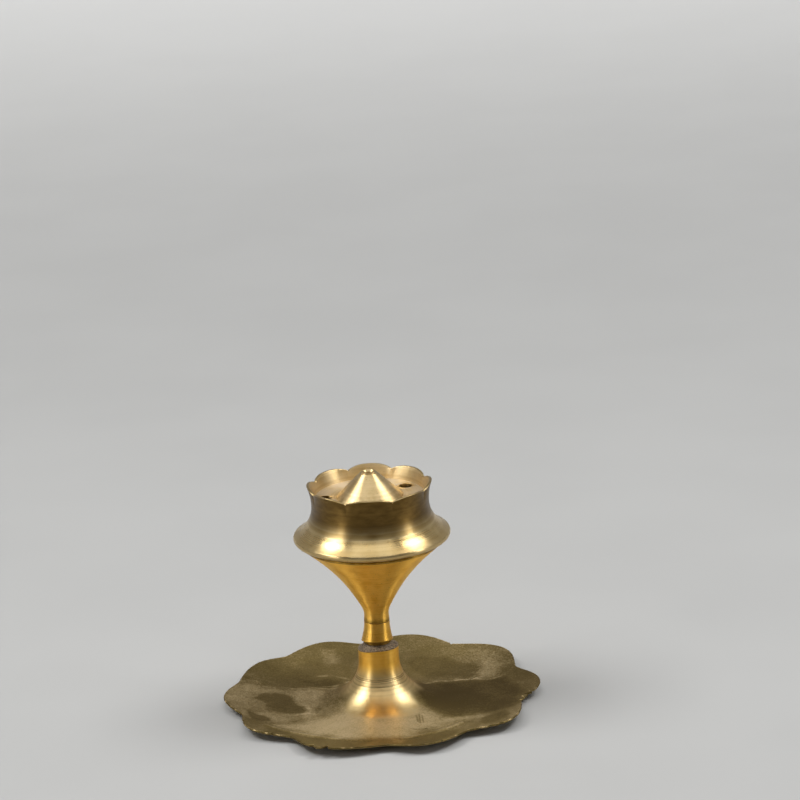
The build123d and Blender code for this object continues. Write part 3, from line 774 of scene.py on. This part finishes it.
def make_washer(material):
    """Flat washer with eased edges."""
    path = legs(
        (WASHER_HOLE, WASHER_TOP), (WASHER_RADIUS, WASHER_TOP, 0.5), (WASHER_RADIUS, HEAD_SEAT, 0.3),
        (WASHER_HOLE, HEAD_SEAT, 0.5), (WASHER_HOLE, WASHER_TOP, 0.3),
    )
    piece = spin("flat_washer", *lathe_arrays(rounded(path[:-1], 0.1), WASHER_SEGMENTS))
    fit(piece, "base_washer", material)


def make_ring(material):
    """Hollow-sided ring between collar and stem."""
    fall, flare = SHOULDER - RING_FOOT[1], RING_FOOT[0] - RING_TOP_RADIUS
    side_radius = (fall**2 + flare**2) / (2 * flare)
    side_turn = math.degrees(math.asin(fall / side_radius))
    side = arc((RING_TOP_RADIUS + side_radius, SHOULDER), side_radius, 180, 180 + side_turn, 0.12)
    top = line((RING_BORE, SHOULDER), (RING_TOP_RADIUS, SHOULDER), 0.3)
    base = legs(
        RING_FOOT, (RING_BASE_RADIUS, BOSS_TOP, 0.3), (RING_BORE, BOSS_TOP, 0.3), (RING_BORE, SHOULDER, 1.0),
    )
    path = joined(top, scored(side, 0.03, 0.4, 5), base[:-1])
    radii, heights = lathe_arrays(rounded(path, 0.14), RING_SEGMENTS)
    outside = radii > RING_BASE_RADIUS - 0.02
    sway = outside * ease(heights, BOSS_TOP, RING_FOOT[1]) * (1 - ease(heights, RING_FOOT[1], SHOULDER - 0.5))
    under = 1 - ease(heights, RING_FOOT[1] - 0.2, RING_FOOT[1] + 0.05)
    painted_edge_highlight = ease(heights, SHOULDER - 0.35, SHOULDER - 0.1)
    # The outside is darkened a little all over, as painted shade for the dark surroundings it reflects, and
    # more under the foot, as painted shade; its top edge is less dark, a painted highlight; hidden inner
    # faces are darkened.
    marks = {"shade_and_grime": np.where(outside, 0.18 + 0.5 * under - 0.2 * painted_edge_highlight, 0.9)}
    heights = heights - RING_TILT * sway * np.sin(angles_of(radii))
    radii = radii + RING_SHIFT * sway * (0.6 - np.cos(angles_of(radii)))
    piece = spin("hollow_sided_ring", radii, heights, marks=marks)
    fit(piece, "neck_ring", material)


def flare_curve():
    """The funnel's side from mouth to waist: a smooth curve through its points with set ends."""
    points = np.array(FUNNEL)
    gaps = np.linalg.norm(np.diff(points, axis=0), axis=1)
    slope = math.radians(MOUTH_SLOPE)
    count = len(points)
    weights, pulls = np.eye(count), np.zeros((count, 2))
    pulls[0], pulls[-1] = (0, 1), (math.cos(slope), math.sin(slope))
    for i in range(1, count - 1):
        before, after = gaps[i - 1], gaps[i]
        weights[i, i - 1:i + 2] = 1 / before, 2 / before + 2 / after, 1 / after
        pulls[i] = 3 * (points[i] - points[i - 1]) / before**2 + 3 * (points[i + 1] - points[i]) / after**2
    leads = np.linalg.solve(weights, pulls)
    path = []
    for i, gap in enumerate(gaps):
        for t in np.linspace(0, 1, round(gap / 0.14)):
            place = (2 * t**3 - 3 * t**2 + 1) * points[i] + (3 * t**2 - 2 * t**3) * points[i + 1]
            place = place + gap * ((t**3 - 2 * t**2 + t) * leads[i] + (t**3 - t**2) * leads[i + 1])
            path.append(tuple(place))
    return joined(path[::-1])


def make_stem(material):
    """Funnel stem with the cup's socket above and its spigot below."""
    socket = legs(
        (0, POCKET_FLOOR), (POCKET_FLOOR_RADIUS, POCKET_FLOOR, 1.0), (POCKET_RADIUS, SOCKET_FLOOR, 1.0),
        (SOCKET_RADIUS, SOCKET_FLOOR, 0.5), (SOCKET_RADIUS, PARTING, 0.5), (MOUTH_STEP, PARTING, 0.5),
        (MOUTH_STEP, MOUTH_TOP, 0.5), (MOUTH_RADIUS - MOUTH_CHAMFER, MOUTH_TOP, 0.5),
        (MOUTH_RADIUS, MOUTH_TOP - 0.1, 0.2), (MOUTH_RADIUS, MOUTH_TOP - 0.3, 0.2),
    )
    spigot = legs(
        FUNNEL[0], (RING_TOP_RADIUS, SHOULDER + 0.2, 0.2), (RING_TOP_RADIUS - 0.2, SHOULDER, 0.3),
        (SPIGOT_RADIUS, SHOULDER, 0.3), (SPIGOT_RADIUS, SPIGOT_BOTTOM, 0.8),
        (THREAD_RADIUS, SPIGOT_BOTTOM, 0.4), (THREAD_RADIUS, THREAD_TOP, 0.8), (0, THREAD_TOP, 0.8),
    )
    path = joined(socket, scored(flare_curve(), 0.045, 0.5, 11), spigot)
    radii, heights = lathe_arrays(rounded(path, 0.12, closed=False), STEM_SEGMENTS)
    # Darker towards the shoulder: dirt in the joint and painted shade. The hidden socket and spigot are
    # darkened, and so is the mouth under the cup's bead, as painted shade.
    joint = 1 - ease(heights, SHOULDER + 0.2, FUNNEL[0][1] + 0.5)
    inner = (heights > PARTING - 0.5) | (radii < RING_TOP_RADIUS - 0.3)
    marks = {"shade_and_grime": np.maximum(0.55 * joint, 0.6 * inner)}
    piece = spin("funnel_stem", radii, heights, closed=False, marks=marks)
    fit(piece, "stem_funnel", material)


def petals(turn):
    """For each angle: how far up its petal's arch the rim is, and that petal's own height share."""
    width = 360 / PETAL_COUNT
    degrees = np.degrees(turn) + 90 + RIM_TURN
    nearest = np.round(degrees / width)
    number = nearest.astype(int) % PETAL_COUNT
    edges = np.array(PETAL_TURNS)
    offset = degrees - nearest * width
    low, high = -width / 2 + edges[number], width / 2 + edges[(number + 1) % PETAL_COUNT]
    outside_low, outside_high = offset < low, offset > high
    number = np.where(outside_low, number - 1, np.where(outside_high, number + 1, number)) % PETAL_COUNT
    offset = np.where(outside_low, offset + width, np.where(outside_high, offset - width, offset))
    low, high = -width / 2 + edges[number], width / 2 + edges[(number + 1) % PETAL_COUNT]
    across = (2 * offset - low - high) / (high - low)
    return np.clip(1 - np.abs(across) ** PETAL_FULLNESS, 0, 1), np.array(PETAL_SHARES)[number]


def stick_turns():
    """The angle of each stick hole, in radians."""
    return [math.radians(STICK_START + 360 * i / STICK_COUNT) for i in range(STICK_COUNT)]


def blacken_bores(mesh):
    """Marks the stick holes and all below them as sooty, less so near the top."""
    points = np.empty(3 * len(mesh.vertices), dtype=np.float32)
    mesh.vertices.foreach_get("co", points)
    x, y, z = points.reshape(-1, 3).T / MM
    soot = np.zeros(len(x))
    for turn in stick_turns():
        gap = np.hypot(x - STICK_CIRCLE * math.cos(turn), y - STICK_CIRCLE * math.sin(turn))
        soot = np.maximum(soot, (gap < STICK_RADIUS + 0.05) * (1 - ease(z, FLOOR - SOOT_DEPTH, FLOOR + 0.3)))
    mesh.attributes["soot"].data.foreach_set("value", soot.astype(np.float32))


def make_cup(material):
    """Cup with rounded lip, waisted wall, petalled rim and drilled floor."""
    skirt = scored(arc(SKIRT_CENTRE, SKIRT_RADIUS, 180, 180 + SKIRT_TURN, 0.14), 0.03, 0.5, 17)
    bead = arc(LIP_CENTRE, LIP_ROUNDING, LIP_CREASE, LIP_START, 0.12)
    below = legs(
        bead[-1], (MOUTH_RADIUS - MOUTH_CHAMFER, MOUTH_TOP + MOUTH_GAP, 0.4),
        (MOUTH_STEP - 0.1, MOUTH_TOP + MOUTH_GAP, 0.6), (MOUTH_STEP - 0.1, PARTING + MOUTH_GAP, 0.6),
        (CUP_SPIGOT_RADIUS, PARTING + MOUTH_GAP, 0.6), (CUP_SPIGOT_RADIUS, CUP_SPIGOT_BOTTOM, 0.1),
        (POCKET_RADIUS, CUP_SPIGOT_BOTTOM, 0.5), (POCKET_RADIUS, PARTING, 0.8),
        (CAVITY_RADIUS, CAVITY_FLOOR, 0.8), (CAVITY_RADIUS, FLOOR_UNDERSIDE, 0.8),
        (CONE_BORE, FLOOR_UNDERSIDE, 10.0),
    )
    floor = [(CONE_BORE, FLOOR), (FLOOR_RADIUS - FILLET_RUN, FLOOR), (FLOOR_RADIUS, FLOOR + FILLET_RISE)]
    turn = 2 * math.pi * np.arange(CUP_SEGMENTS)[:, None] / CUP_SEGMENTS
    arch, share = petals(turn)
    slit = SLIT_DEPTH * (1 - ease(arch, 0.0, 0.07))
    top = PETAL_TOP - PETAL_ARCH + PETAL_ARCH * share * arch - slit
    top = top - FILE_MARKS * np.abs(clouds(np.degrees(turn), turn * 0, 4.0, 2.2))
    tip = PETAL_NOTCH + (PETAL_TIP - PETAL_NOTCH) * arch
    climb = np.linspace(0, 1, 22)
    inner_tip = tip - RIM_THICKNESS
    inside_radii = FLOOR_RADIUS + (inner_tip - FLOOR_RADIUS) * climb[1:] ** 1.3
    inside_heights = FLOOR + FILLET_RISE + (top - RIM_ROUNDING - FLOOR - FILLET_RISE) * climb[1:]
    rim_radii = np.hstack([
        inner_tip + RIM_ROUNDING, inner_tip + RIM_SHOULDER, tip - RIM_SHOULDER, tip - RIM_ROUNDING,
    ])
    rim_heights = np.hstack([top - 0.01, top, top, top - 0.01])
    fall = climb[::-1]
    outer_heights = WALL_START + (top - RIM_ROUNDING - WALL_START) * fall
    spread = ((outer_heights - WALL_START) / (PETAL_TOP - WALL_START)) ** 2
    outer_radii = WALL_RADIUS + (PETAL_TIP - WALL_RADIUS) * spread
    outer_radii = outer_radii + (tip - outer_radii[:, :1]) * ease(fall, 0.25, 1.0)
    floor_radii, floor_heights = lathe_arrays(floor, CUP_SEGMENTS)
    body = rounded(joined(skirt, bead, below), 0.1, closed=False)
    body_radii, body_heights = lathe_arrays(body, CUP_SEGMENTS)
    radii = np.hstack([floor_radii, inside_radii, rim_radii, outer_radii[:, :-1], body_radii])
    heights = np.hstack([floor_heights, inside_heights, rim_heights, outer_heights[:, :-1], body_heights])
    around = angles_of(radii)
    phase = (heights / CUP_THREAD_PITCH - around / (2 * math.pi)) % 1
    spigot = (np.abs(radii - CUP_SPIGOT_RADIUS) < 0.01) & (heights < PARTING - 0.3)
    radii = np.where(spigot, radii - CUP_THREAD_DEPTH * ease(np.abs(2 * phase - 1), 0.2, 0.8), radii)
    index = np.arange(radii.shape[1])
    count_in = len(floor) + len(climb) - 1
    whole = np.ones_like(radii)
    inside = whole * (index < count_in)
    rim = whole * ((index >= count_in - 1) & (index < count_in + 5))
    on_floor = whole * (index < 2)
    # The wall darkens upward, partly with age and partly as painted shade for the dark surroundings it
    # reflects; the bead below is darkened as painted shade for the same reason.
    wall = (1 - inside) * ease(heights, *WALL_TARNISH_AND_SHADE) * (1 - 0.6 * rim)
    lip = (1 - inside) * (1 - ease(heights, *BEAD_END))
    # A dark patch on the front of the skirt, on the side facing the camera: painted shade.
    beside, above = (np.degrees(around) - FRONT_SHADE_ANGLE) / FRONT_SHADE_TURN, (heights - FRONT_SHADE_HEIGHT) / FRONT_SHADE_RISE
    front_shade = np.exp(-beside**2 - above**2)
    # Pale brass on the rim at the slits between petals: filed edges, partly a painted highlight.
    burr_and_highlight = rim * (1 - ease(arch, 0.0, 0.06))
    marks = {
        "tarnish_and_shade": np.maximum(wall, 0.35 * lip) + 0.3 * (1 - inside) * front_shade + 0.1 * inside,
        "ash": np.maximum(on_floor, 0.45 * inside),
        "worn": 0.9 * burr_and_highlight,
        "soot": 0 * whole,
    }
    piece = spin("petal_cup", radii, heights, marks=marks)
    bore = [
        (0, FLOOR + 1), (STICK_RADIUS + 0.2, FLOOR + 1), (STICK_RADIUS + 0.08, FLOOR + 0.02),
        (STICK_RADIUS, FLOOR - 0.1), (STICK_RADIUS, FLOOR - SOOT_DEPTH),
        (STICK_RADIUS, FLOOR_UNDERSIDE + 0.2), (STICK_RADIUS, FLOOR_UNDERSIDE - 1), (0, FLOOR_UNDERSIDE - 1),
    ]
    for turn in stick_turns():
        drill = spin("drill", *lathe_arrays(bore, DRILL_SEGMENTS), closed=False)
        drill.location = Vector((math.cos(turn), math.sin(turn), 0)) * STICK_CIRCLE * MM
        cut_out(piece, drill)
    blacken_bores(piece.data)
    fit(piece, "cup", material)


def make_cone(material):
    """Conical socket with a flat, worn tip and a stick hole."""
    slope = (CONE_BASE - CONE_TOP) / (CONE_TIP - FLOOR)
    shoulder = (CONE_TOP + slope * TIP_STEP, CONE_TIP - TIP_STEP)
    hole = legs(
        (0, CONE_HOLE_FLOOR), (CONE_HOLE, CONE_HOLE_FLOOR, 0.6),
        (CONE_HOLE, CONE_TIP - CONE_MOUTH_DEPTH, 0.8), (CONE_MOUTH, CONE_TIP, 0.8),
        (CONE_TOP, CONE_TIP, 0.3), (CONE_TOP, shoulder[1], 0.15),
    )
    flank = scored(line(shoulder, (CONE_BASE, FLOOR), 0.1), 0.012, 0.45, 23)
    foot = legs(
        (CONE_BASE, FLOOR), (CONE_SPIGOT, FLOOR, 0.8), (CONE_SPIGOT, FLOOR_UNDERSIDE, 0.8),
        (0, FLOOR_UNDERSIDE, 0.8),
    )
    path = joined(hole, flank, foot)
    radii, heights = lathe_arrays(rounded(path, 0.06, closed=False), CONE_SEGMENTS)
    piece = spin("cone_tip_socket", radii, heights, closed=False)
    fit(piece, "cone_socket", material)


def make_floor():
    """Wide pale table top."""
    half = 4.0
    corners = [(-half, -half, 0), (half, -half, 0), (half, half, 0), (-half, half, 0)]
    mesh = bpy.data.meshes.new("table_top")
    mesh.from_pydata(corners, [], [(0, 1, 2, 3)])
    mesh.materials.append(floor_material())
    top = put_in_scene("table_top", mesh)


def make_lamp(name, azimuth, elevation, distance, width, height, watts, target=(0, 0, 0.03), spread=180):
    """A softbox aimed at a target; azimuth 0 is over the camera and 90 to its right."""
    data = bpy.data.lights.new(name, "AREA")
    data.shape, data.size, data.size_y, data.energy = "RECTANGLE", width, height, watts
    data.spread = math.radians(spread)
    lamp = put_in_scene(name, data)
    turn, tilt = math.radians(azimuth), math.radians(elevation)
    away = Vector((math.sin(turn) * math.cos(tilt), -math.cos(turn) * math.cos(tilt), math.sin(tilt)))
    lamp.location = Vector(target) + away * distance
    lamp.rotation_mode = "QUATERNION"
    lamp.rotation_quaternion = away.to_track_quat("Z", "Y")
    lamp.visible_camera = False


def make_studio():
    """World light, dimmer in front, and lamps at both sides, overhead, in front and over the far floor."""
    world = bpy.data.worlds.new("studio")
    world.use_nodes = True
    nodes, links = world.node_tree.nodes, world.node_tree.links
    nodes["Background"].inputs["Color"].default_value = (1, 1, 1, 1)
    parts, dimming = nodes.new("ShaderNodeSeparateXYZ"), nodes.new("ShaderNodeMapRange")
    links.new(nodes.new("ShaderNodeTexCoord").outputs["Generated"], parts.inputs[0])
    links.new(parts.outputs["Y"], dimming.inputs["Value"])
    for socket, value in (("From Min", -0.8), ("From Max", 0.6), ("To Min", 0.06), ("To Max", 0.3)):
        dimming.inputs[socket].default_value = value
    links.new(dimming.outputs[0], nodes["Background"].inputs["Strength"])
    bpy.context.scene.world = world
    for lamp in LAMPS:
        make_lamp(*lamp)
    make_lamp("far_floor_softbox", 0, 90, 1.0, 1.6, 0.8, 3.2, target=(0, 1.05, 0), spread=70)


def make_camera():
    """The photo's camera: distance, height, aim and the slight roll of the picture."""
    distance, aim_height = 0.95, 0.027
    elevation, roll = math.radians(19.7), math.radians(3.1)
    pan, tilt = 0.00907, 0.04901
    data = bpy.data.cameras.new("photo_camera")
    data.sensor_width, data.lens = 36.0, 177.2
    data.clip_start, data.clip_end = 0.01, 50.0
    camera = put_in_scene("photo_camera", data)
    ahead = Vector((0, math.cos(elevation), -math.sin(elevation)))
    upward = Vector((1, 0, 0)).cross(ahead)
    ahead = (ahead + pan * Vector((1, 0, 0)) + tilt * upward).normalized()
    level = ahead.cross(Vector((0, 0, 1))).normalized()
    above = level.cross(ahead)
    right = math.cos(roll) * level - math.sin(roll) * above
    up = math.sin(roll) * level + math.cos(roll) * above
    turn = Matrix((right, up, -ahead)).transposed().to_4x4()
    place = Vector((0, -distance * math.cos(elevation), aim_height + distance * math.sin(elevation)))
    camera.matrix_world = Matrix.Translation(place) @ turn
    bpy.context.scene.camera = camera


turned_brass = turned_brass_material()
steel = plated_steel_material()
make_dish(dish_material())
make_screw(steel)
make_washer(steel)
make_ring(turned_brass)
make_stem(turned_brass)
make_cup(cup_material())
make_cone(cone_material())
make_floor()
make_studio()
make_camera()
bpy.context.scene.view_settings.view_transform = "Standard"
